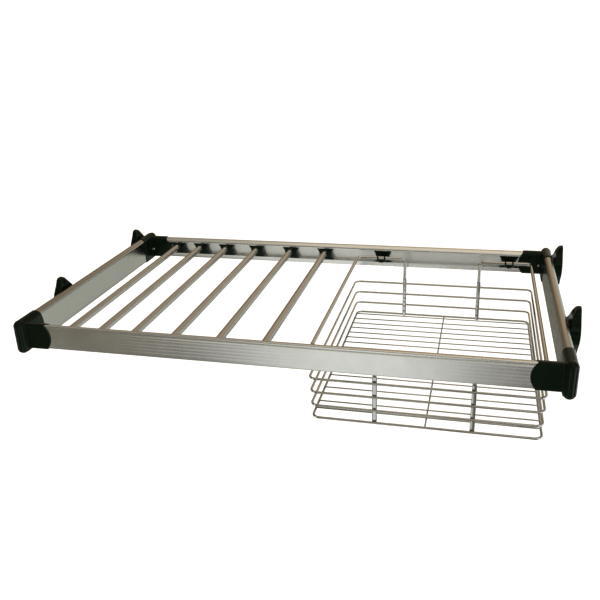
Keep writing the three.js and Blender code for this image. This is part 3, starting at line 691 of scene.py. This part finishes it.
for front in (False, True):
    lo = (CAP_END_X - 1, 184 if front else 192, -30)
    hi = (RAIL_OUT + 2, 249 if front else 255, 29)
    V, Q, G = net(cap_field(front), lo, hi, 0.6 if front else 0.85, 0.35 if front else 0.45)
    if front:
        V, Q, G = mirror(V, Q, 1, G)
    e = "front" if front else "rear"
    for s, sx in SIDES:
        v, q, g = (V, Q, G) if sx > 0 else mirror(V, Q, 0, G)
        piece(f"v_{e}_{s}_corner_cap", make_mesh(f"v_{e}_{s}_cap", v, q, None, g), M_BLACK, "rack", [f"{e}_{s}_corner_cap"])


# ---------------------------------------------------------------- screws
def screw_field(head_r, head_h, shank_r, shank_l):
    def f(x, y, z):
        rad = np.sqrt(x * x + z * z)
        dome_r = (head_r ** 2 + (head_h * 1.25) ** 2) / (2 * head_h * 1.25)
        dome = np.sqrt(rad ** 2 + (y - (dome_r - head_h)) ** 2) - dome_r
        head = smax(np.maximum(dome, rad - head_r), y, 0.15)
        shank = np.maximum(rad - shank_r * np.clip((shank_l - y) / 1.4, 0.15, 1), np.maximum(-y - 0.4, y - shank_l))
        thread = shank - 0.12 * np.cos(2 * math.pi * (y / 1.3 - np.arctan2(x, z) / (2 * math.pi)))
        body = np.minimum(head, np.maximum(thread, -y - 0.4))
        depth = -head_h + head_h * 0.72
        w = 0.42 + 0.10 * np.clip(-y, 0, 3)
        c1 = np.maximum(np.maximum(np.abs(x) - w, np.abs(z) - head_r * 0.52), y - depth)
        c2 = np.maximum(np.maximum(np.abs(z) - w, np.abs(x) - head_r * 0.52), y - depth)
        return smax(body, -np.minimum(c1, c2), 0.1)
    return f


def screw_mesh(name, head_r, head_h, shank_r, shank_l):
    V, Q, G = net(screw_field(head_r, head_h, shank_r, shank_l), (-head_r, -head_h, -head_r), (head_r, shank_l, head_r), 0.24, 0.6)
    return make_mesh(name, V, Q, None, G)


cap_screw = screw_mesh("v_cap_screw", 3.0, 2.0, 1.5, 9.0)
for e, s in ENDS:
    for side, sx in SIDES:
        piece(f"v_{e}_{side}_cap_screw", cap_screw, M_SCREW, "rack", [f"{e}_{side}_cap_screw"],
              (sx * CAP_SCREW_X, s * (FACE - CAP_T - GAP), CAP_SCREW_Z), 0.0 if s > 0 else math.pi)
runner_screw = screw_mesh("v_runner_screw", 3.4, 1.5, 1.6, 3.6)
bracket_screw = screw_mesh("v_bracket_screw", 3.4, 1.3, 1.6, 8.5)
for side, sx in SIDES:
    piece(f"v_{side}_runner_screw", runner_screw, M_SCREW, "rack", [f"{side}_runner_screw"],
          (sx * (U + 1.7 + GAP), -47, 0), sx * math.pi / 2)
    for (e, _), y in zip(ENDS, EAR_Y):
        piece(f"v_{side}_{e}_bracket_screw", bracket_screw, M_SCREW, "wall_side", [f"{side}_{e}_bracket_screw"],
              (sx * (U + 11.7 - GAP), y, 0), -sx * math.pi / 2)


# ---------------------------------------------------------------- clips
def clip_outline(z0, z1, w=CLIP_W / 2, q=CLIP_WAIST / 2, n=24):
    zm, h = (z0 + z1) / 2, (z1 - z0) / 2
    e = [(q + (w - q) * abs(t) ** 1.9, zm + h * t) for t in np.linspace(-1, 1, n + 1)]
    return e + [(-a, b) for a, b in reversed(e)]


CLIP_POLY = clip_outline(SLOT_LOW + 0.4, SLOT_HIGH - 0.4)
CLIP_BASE_POLY = clip_outline(SLOT_IN_LOW + 0.4, SLOT_IN_HIGH - 0.4, 15.0, 9.0)


def clip_field(x, y, z):
    inner = FACE + LIP_T + GAP
    base = rounded(sd_polygon(CLIP_BASE_POLY, x, z), slab(y, inner, inner + 3.2), 0.4)
    bow = rounded(sd_polygon(CLIP_POLY, x, z), slab(y, FACE - 0.8, inner + 1.2), 0.45)
    body = np.minimum(base, bow)
    rad = np.sqrt(x ** 2 + (z - BAR_Z) ** 2)
    collar = rounded(rad - SOCKET_R, slab(y, FACE - SOCKET_L, FACE + 3), 0.7)
    body = smin(body, collar, 1.2)
    return smax(body, -np.maximum(rad - (BAR_R + 0.3), y - (FACE + 4.0)), 0.25)


V, Q, G = net(clip_field, (-CLIP_W / 2, FACE - SOCKET_L - 0.5, SLOT_IN_LOW), (CLIP_W / 2, FACE + 6, SLOT_IN_HIGH), 0.6, 0.5)
clip_mesh = make_mesh("v_bar_clip", V, Q, None, G)
for i, x in enumerate(BAR_X):
    for e, s in ENDS:
        piece(f"v_bar_{i + 1}_{e}_clip", clip_mesh, M_BLACK, f"bar_{i + 1}", [f"bar_{i + 1}_{e}_clip"], (x, 0, 0), 0.0 if s > 0 else math.pi)


# ---------------------------------------------------------------- basket hooks
def hook_plate(z0, z1, less):
    half = [(a - less, c) for a, c in [(17.4, z1), (14.9, 6.5), (13.2, 2.4), (12.6, -0.6), (8.6, -1.2), (8.6, -8), (12, -8.6), (16.9, -9.8), (16.9, z0)]]
    return [(-a, c) for a, c in half] + half[::-1]


def hook_field(tip):
    z0, z1 = SLOT_LOW + 0.4, SLOT_HIGH - 0.4
    face = hook_plate(z0, z1, 0)
    back = hook_plate(SLOT_IN_LOW + 0.4, SLOT_IN_HIGH - 0.4, 1.6)
    ri, ro, cy, cz = HANGER_R + GAP, HANGER_R + GAP + 2.5, HANGER_Y, HANGER_Z
    hook = ([(FACE + 0.5, cz - ri)] + arc(cy, cz, ri, ri, 270, 180, 16) + [(cy - ri, cz + tip - 0.6), (cy - ri - 1.2, cz + tip), (cy - ro, cz + tip - 0.6)]
            + arc(cy, cz, ro, ro, 180, 262, 16) + [(FACE - 9, cz - ro - 0.8), (FACE + 0.5, z0 + 1)])
    web = arc(0, cz - ro + 0.5, 6.6, 4.4, 180, 360, 20) + [(6.6, cz - ri - 0.7), (-6.6, cz - ri - 0.7)]
    def f(x, y, z):
        base = rounded(sd_polygon(back, x, z), slab(y, FACE + LIP_T + GAP, FACE + LIP_T + GAP + 3.2), 0.4)
        plate = rounded(sd_polygon(face, x, z), slab(y, FACE - 1, FACE + LIP_T + GAP + 1.2), 0.45)
        H = sd_polygon(hook, y, z)
        prongs = np.minimum(rounded(H, slab(x, -8.1, -5.1), 0.5), rounded(H, slab(x, 5.1, 8.1), 0.5))
        w = rounded(sd_polygon(web, x, z), slab(y, cy - 1.5, FACE + 0.5), 0.5)
        return smin(smin(np.minimum(base, plate), prongs, 0.6), w, 0.8)
    return f


for (e, s), tip in zip(ENDS, (1.2, 4.6)):
    V, Q, G = net(hook_field(tip), (-18, HANGER_Y - 7, -16), (18, FACE + 6, 16), 0.6, 0.5)
    hook_mesh = make_mesh(f"v_basket_hook_{e}", V, Q, None, G)
    for (side, _), x in zip(SIDES, HOOK_X):
        piece(f"v_basket_hook_{e}_{side}", hook_mesh, M_BLACK, "basket_hooks", [f"basket_hook_{e}_{side}"], (x, 0, 0), 0.0 if s > 0 else math.pi)


# ---------------------------------------------------------------- wall brackets
def bracket_field():
    w, h = EAR_W / 2, EAR_H / 2
    edge = [(w, 0), (w - 0.2, 3), (25.4, 8), (22.5, 14), (18.2, 20), (14.9, 24), (12, 28), (9.8, 32), (8.1, 35), (6.2, 36.7), (3.4, 37.8)]
    leaf = edge + [(0, h)] + [(-a, c) for a, c in edge[:0:-1]] + [(-w, 0)] + [(-a, -c) for a, c in edge[1:]] + [(0, -h)] + [(a, -c) for a, c in edge[:0:-1]]
    half = [(WALL - 2.4, h + 1), (WALL - 4, h - 0.5), (WALL - 7, h - 2.2), (WALL - 9.2, h - 6), (WALL - 11.2, h - 10), (WALL - 12.3, h - 14), (WALL - 12.9, h - 18), (WALL - 13.7, h - 22), (WALL - 15.2, h - 25.8), (EAR_IN, 9)]
    prof = [(WALL, -h - 3), (WALL, h + 3)] + half + [(a, -c) for a, c in reversed(half)]
    def f(x, y, z):
        L = sd_polygon(leaf, y, z)
        P = sd_polygon(prof, x, z)
        body = rounded(L, P, 1.4)
        body = np.maximum(body, np.maximum(x - WALL, L))
        body = smax(body, -np.maximum(np.sqrt(y ** 2 + z ** 2) - 2.0, x - (EAR_IN + 9)), 0.2)
        for s in (-1, 1):
            rad = np.sqrt(y ** 2 + (z - s * (h - 9.5)) ** 2)
            body = smax(body, -(rad - 2.2), 0.25)
            body = smax(body, -(rad - (2.2 + np.clip((WALL - 8.4 - x) * 1.0, 0, 2.2))), 0.3)
        return body
    return f


V, Q, G = net(bracket_field(), (EAR_IN, -EAR_W / 2, -EAR_H / 2), (WALL, EAR_W / 2, EAR_H / 2), 0.8, 0.5)
for side, sx in SIDES:
    v, q, g = (V, Q, G) if sx > 0 else mirror(V, Q, 0, G)
    me = make_mesh(f"v_{side}_bracket", v, q, None, g)
    for (e, _), y in zip(ENDS, EAR_Y):
        piece(f"v_{side}_{e}_wall_bracket", me, M_BLACK, "wall_side", [f"{side}_{e}_wall_bracket"], (0, y, 0))


# ---------------------------------------------------------------- runners
def channel(u0, u1, h, t, lip):
    if lip > u1:
        return [(U + u0, -h), (U + lip, -h), (U + lip, -h + t), (U + u1, -h + t), (U + u1, h - t), (U + lip, h - t), (U + lip, h), (U + u0, h)]
    return [(U + u1, -h), (U + u1, h), (U + lip, h), (U + lip, h - t), (U + u0, h - t), (U + u0, -h + t), (U + lip, -h + t), (U + lip, -h)]


start = RUNNER_CENTRE - RUNNER_L / 2
for kind, sec, y0, body in (("fixed", channel(11.7, 13.2, 17.5, 1.5, 4.2), start, "wall_side"),
                            ("middle", channel(7.3, 8.6, 13.7, 1.4, 2.6), start - OPEN_AT_REST / 2, "middle_members"),
                            ("rack", channel(0.3, 1.7, 10, 1.4, 6), start - OPEN_AT_REST, "rack")):
    co, fa = extrusion(fillet(sec, [1.2, 0.4, 0.3, 0.6, 0.6, 0.3, 0.4, 1.2], 5), "y", y0, y0 + RUNNER_L)
    for side, sx in SIDES:
        c, f, _ = (co, fa, None) if sx > 0 else mirror(co, fa, 0)
        piece(f"v_{side}_runner_{kind}_member", make_mesh(f"v_{side}_{kind}", c, f, 40), M_RUNNER, body, [f"{side}_runner_{kind}_member"])


def ball(cx, cy, cz, r=1.05, n=12, m=8):
    co, faces = [(cx, cy, cz + r)], []
    for j in range(1, m):
        t = math.pi * j / m
        co += [(cx + r * math.sin(t) * math.cos(2 * math.pi * i / n), cy + r * math.sin(t) * math.sin(2 * math.pi * i / n), cz + r * math.cos(t)) for i in range(n)]
    co.append((cx, cy, cz - r))
    last = len(co) - 1
    for i in range(n):
        k = (i + 1) % n
        faces.append((0, 1 + i, 1 + k))
        for j in range(m - 2):
            a, b = 1 + j * n, 1 + (j + 1) * n
            faces.append((a + i, b + i, b + k, a + k))
        faces.append((1 + (m - 2) * n + i, last, 1 + (m - 2) * n + k))
    return np.array(co), faces


for kind, (u0, u1, h, lip, bu, bz, shift, body) in {"inner": (6.35, 6.95, 11.45, 3.4, 4.4, 11.15, 0.75, "inner_ball_cages"),
                                                    "outer": (9.0, 9.6, 15.15, 5.6, 6.6, 14.85, 0.25, "outer_ball_cages")}.items():
    centre = RUNNER_CENTRE - OPEN_AT_REST * shift
    parts = [extrusion(fillet(channel(u0, u1, h, 0.6, lip), [0.6, 0.1, 0.1, 0.3, 0.3, 0.1, 0.1, 0.6], 4), "y", centre - 75, centre + 75)]
    for i in range(-3, 4):
        for z in (-bz, bz):
            parts.append(ball(U + bu, centre + i * 20, z))
    co, fa = join(*parts)
    for side, sx in SIDES:
        c, f, _ = (co, fa, None) if sx > 0 else mirror(co, fa, 0)
        piece(f"v_{side}_{kind}_ball_cage", make_mesh(f"v_{side}_{kind}_cage", c, f, 35), M_RUNNER, body, [f"{side}_{kind}_ball_cage"])


# ---------------------------------------------------------------- basket
def ring_path(x0, x1, z, r=11.0, n=10):
    y = BASKET_Y
    p = arc(x1 - r, y - r, r, r, 0, 90, n) + arc(x0 + r, y - r, r, r, 90, 180, n) + arc(x0 + r, -y + r, r, r, 180, 270, n) + arc(x1 - r, -y + r, r, r, 270, 360, n)
    return [(a, b, z) for a, b in p]


def closed_ring(x0, x1, z, r):
    return sweep(ring_path(x0, x1, z), lambda i: (r, r, 2.0), 20, closed=True, first=(0, 0, 1))


for i, (x0, x1, z) in enumerate(RIMS):
    piece(f"v_basket_rim_{i + 1}", make_mesh(f"v_rim_{i + 1}", *closed_ring(x0, x1, z, RIM_D / 2), 60), M_CHROME, "basket", [f"basket_rim_{i + 1}"])
x0, x1, z = FLOOR
parts = [closed_ring(x0, x1, z, RIM_D / 2)]
zw = z + RIM_D / 2 + FLOOR_WIRE_R - 0.6
for y in FLOOR_WIRE_Y:
    parts.append(wire([(x0 - 0.6, y, zw), (x1 + 0.6, y, zw)], FLOOR_WIRE_R, 14, first=(0, 0, 1)))
k = (KEEL_X[1] - KEEL_X[0]) / (2 * BASKET_Y)
parts.append(wire([(KEEL_X[0], -BASKET_Y, z - 0.1), (KEEL_X[1], BASKET_Y, z - 0.1)], FLOOR_KEEL_R, 14, first=(0, 0, 1)))
piece("v_basket_floor", make_mesh("v_basket_floor", *join(*parts), 60), M_CHROME_FLOOR_SHADED, "basket", ["basket_floor"])

for i, x in enumerate(HANGER_X):
    sx = STRAP_X[i]
    low = FLOOR[2] - RIM_D / 2
    ys = (STRAP_Y[0] + STRAP_Y[1]) / 2
    ts = (STRAP_Y[1] - STRAP_Y[0]) / 2
    # One wire: round along the top, pressed flat below each leg.
    flat = [(low, 2.2, ts * 0.6, 4), (low + 0.8, 3.0, ts, 4), (low + 1.8, STRAP_W / 2 + 0.4, ts, 4.5), (-60, STRAP_W / 2 + 0.4, ts, 4.5), (LEG_LOW - 2.5, STRAP_W / 2 + 0.4, ts, 4.5),
            (LEG_LOW - 1.2, 3.25, 1.1, 3.6), (LEG_LOW, 3.3, 1.9, 2.6), (LEG_LOW + 1.2, 3.2, 2.7, 2.2), (LEG_LOW + 2.6, HANGER_R, HANGER_R, 2.0)]
    rear = [((sx, ys + (HANGER_Y - ys) * np.clip((zz - LEG_LOW + 1) / 3, 0, 1), zz), (a, b, p)) for zz, a, b, p in flat]
    top = bend([(sx, HANGER_Y, -30), (sx, HANGER_Y, HANGER_Z), (x, HANGER_Y, HANGER_Z), (x, -HANGER_Y, HANGER_Z), (sx, -HANGER_Y, HANGER_Z), (sx, -HANGER_Y, -30)], 8.0, 10)
    front = [((q[0], -q[1], q[2]), s) for q, s in reversed(rear)]
    path = [q for q, _ in rear] + top + [q for q, _ in front]
    sec = [s for _, s in rear] + [(HANGER_R, HANGER_R, 2.0)] * len(top) + [s for _, s in front]
    co, fa = sweep(path, lambda j: sec[j], 24, first=(1, 0, 0))
    n = "right" if i else "left"
    piece(f"v_basket_hanger_{n}", make_mesh(f"v_hanger_{n}", co, fa, 50), M_CHROME, "basket", [f"basket_hanger_{n}"])


# ---------------------------------------------------------------- camera
f, az, el, roll = 710.81479, -0.25594192, 0.38319257, -0.03804204
place = Vector((0.27478904, -1.10896115, 0.45217756))
d = Vector((math.sin(az) * math.cos(el), math.cos(az) * math.cos(el), -math.sin(el)))
right = d.cross(Vector((0, 0, 1))).normalized()
up = right.cross(d)
r2 = right * math.cos(roll) + up * math.sin(roll)
u2 = -right * math.sin(roll) + up * math.cos(roll)
camera = bpy.data.objects.new("camera", bpy.data.cameras.new("camera"))
scene.collection.objects.link(camera)
camera.matrix_world = Matrix(((r2.x, u2.x, -d.x, place.x), (r2.y, u2.y, -d.y, place.y), (r2.z, u2.z, -d.z, place.z), (0, 0, 0, 1)))
camera.data.sensor_width = 36
camera.data.lens = f * 36 / 600
camera.data.clip_start, camera.data.clip_end = 0.01, 100
scene.camera = camera
scene.view_settings.view_transform = "Standard"


# ---------------------------------------------------------------- floor, backdrop and studio light
def stage_object(name, me, material):
    o = bpy.data.objects.new(name, me)
    scene.collection.objects.link(o)
    me.materials.append(material)
    o.visible_glossy = False
    return o


m_floor, nt, b = new_material("pale_floor")
mottled = noise(nt, object_coords(nt), 3.0, 3.0, 0.5)
nt.links.new(mix_colour(nt, mottled, (0.93, 0.93, 0.925), (0.90, 0.90, 0.895)), b.inputs["Base Color"])
b.inputs["Roughness"].default_value = 0.9
b.inputs["Emission Color"].default_value = (1, 1, 1, 1)
b.inputs["Emission Strength"].default_value = 0.72
floor = bpy.data.meshes.new("floor")
floor.from_pydata([(-14, -14, -0.6), (14, -14, -0.6), (14, 14, -0.6), (-14, 14, -0.6)], [], [(0, 1, 2, 3)])
stage_object("floor", floor, m_floor)

m_sky, nt, b = new_material("pale_backdrop")
b.inputs["Base Color"].default_value = (0, 0, 0, 1)
b.inputs["Emission Color"].default_value = (1, 1, 1, 1)
b.inputs["Emission Strength"].default_value = 1.0
n_az, n_el = 48, 16
co, fa = [], []
for j in range(n_el + 1):
    t = math.radians(-8 + 98 * j / n_el)
    co += [(13 * math.cos(t) * math.cos(2 * math.pi * i / n_az), 13 * math.cos(t) * math.sin(2 * math.pi * i / n_az), 13 * math.sin(t)) for i in range(n_az)]
for j in range(n_el):
    for i in range(n_az):
        k = (i + 1) % n_az
        fa.append((j * n_az + i, (j + 1) * n_az + i, (j + 1) * n_az + k, j * n_az + k))
dome = bpy.data.meshes.new("backdrop")
dome.from_pydata(co, [], fa)
sky = stage_object("backdrop", dome, m_sky)
sky.visible_diffuse = sky.visible_transmission = sky.visible_shadow = sky.visible_volume_scatter = False

world = bpy.data.worlds.new("studio")
scene.world = world
world.use_nodes = True
nt = world.node_tree
nt.nodes.clear()
w_out = node(nt, "ShaderNodeOutputWorld")
w_bg = node(nt, "ShaderNodeBackground")
nt.links.new(w_bg.outputs[0], w_out.inputs[0])
tc = node(nt, "ShaderNodeTexCoord")
sep = node(nt, "ShaderNodeSeparateXYZ")
nt.links.new(tc.outputs["Generated"], sep.inputs[0])
DX, DY, DZ = sep.outputs
az_back = maths(nt, "ARCTAN2", DX, DY)
az_front = maths(nt, "ARCTAN2", DX, maths(nt, "MULTIPLY", DY, -1.0))


def window(value, centre, half, soft):
    n = node(nt, "ShaderNodeMapRange", interpolation_type="SMOOTHSTEP")
    nt.links.new(maths(nt, "ABSOLUTE", maths(nt, "SUBTRACT", value, centre)), n.inputs[0])
    n.inputs[1].default_value = half
    n.inputs[2].default_value = half + soft
    n.inputs[3].default_value = 1.0
    n.inputs[4].default_value = 0.0
    return n.outputs[0]


def zone(colour, az_value, az_c, az_half, az_soft, z0, z1, z_soft, paint, amount=1.0):
    fac = window(DZ, (z0 + z1) / 2, (z1 - z0) / 2, z_soft)
    if az_value is not None:
        fac = maths(nt, "MULTIPLY", fac, window(az_value, math.radians(az_c), math.radians(az_half), math.radians(az_soft)))
    if amount < 1:
        fac = maths(nt, "MULTIPLY", fac, amount)
    return mix_colour(nt, fac, colour, paint)


sky_colour = mix_colour(nt, 0.0, (0.17, 0.16, 0.14), (0, 0, 0))
sky_colour = zone(sky_colour, az_back, 0, 95, 25, -1.2, -0.58, 0.10, (0.62, 0.64, 0.58))       # sheet below
sky_colour = zone(sky_colour, az_back, -32, 44, 12, -0.48, -0.14, 0.08, (0.20, 0.20, 0.165))   # its shaded part behind, left of the middle
sky_colour = zone(sky_colour, az_back, 46.5, 13, 12, -0.58, -0.12, 0.08, (0.84, 0.90, 0.84))     # its lit part behind at the right
sky_colour = zone(sky_colour, az_back, 15, 7, 8, -0.36, -0.08, 0.08, (0.92, 0.95, 0.86))       # a bright fold of it in the middle
sky_colour = zone(sky_colour, az_back, -45, 45, 10, -0.10, 0.22, 0.06, (0.22, 0.155, 0.085))     # dim room behind at the left, at eye level
sky_colour = zone(sky_colour, az_back, 36, 24, 10, -0.12, 0.22, 0.06, (0.74, 0.75, 0.71))      # lighter at the right
sky_colour = zone(sky_colour, az_back, 0, 85, 25, 0.30, 0.62, 0.09, (0.375, 0.315, 0.24))        # warm wall higher up
sky_colour = zone(sky_colour, az_back, 4, 9, 9, 0.29, 0.56, 0.08, (0.71, 0.54, 0.345))          # its lit middle
sky_colour = zone(sky_colour, az_back, -78, 16, 14, -0.20, 0.50, 0.12, (0.25, 0.15, 0.065))     # wooden board at the left
ceiling = mix_colour(nt, window(DX, 0.50, 0.68, 0.22), (0.34, 0.32, 0.26), (0.86, 0.76, 0.60)) # ceiling, darker at the left
sky_colour = mix_colour(nt, window(DZ, 1.1, 0.30, 0.10), sky_colour, ceiling)
sky_colour = zone(sky_colour, az_front, -14, 13, 8, -0.34, -0.16, 0.06, (0.84, 0.85, 0.77))    # light floor in front
sky_colour = zone(sky_colour, az_front, 8, 7, 8, -0.34, -0.16, 0.06, (0.58, 0.60, 0.56))       # less light at the right
sky_colour = zone(sky_colour, az_front, -38, 9, 7, -0.34, -0.16, 0.06, (0.125, 0.092, 0.022))     # khaki shade at the left
sky_colour = zone(sky_colour, az_front, -10, 6.5, 6, -0.78, -0.38, 0.05, (0.94, 0.97, 0.93))   # sheet in front, in the middle
sky_colour = zone(sky_colour, az_back, 88, 22, 18, -0.62, 0.30, 0.12, (1.30, 1.22, 1.36))      # window at the right
sky_colour = zone(sky_colour, az_front, 25, 16, 10, 0.32, 0.55, 0.08, (1.10, 1.15, 1.10))      # soft box above the camera
sky_colour = zone(sky_colour, az_front, 52, 8, 6, 0.46, 0.60, 0.06, (3.3, 3.5, 3.3))           # lamp at the right, above
sky_colour = zone(sky_colour, az_front, -66, 8, 6, 0.46, 0.60, 0.06, (2.8, 3.0, 2.8))          # lamp at the left, above
sky_colour = zone(sky_colour, az_front, -56, 5.5, 5, -0.50, 0.05, 0.06, (2.3, 2.6, 2.3))      # strip light at the left
sky_colour = zone(sky_colour, az_front, 62, 5.5, 5, -0.50, 0.05, 0.06, (1.9, 2.1, 1.9))          # strip light at the right
nt.links.new(sky_colour, w_bg.inputs[0])
w_bg.inputs[1].default_value = 1.0
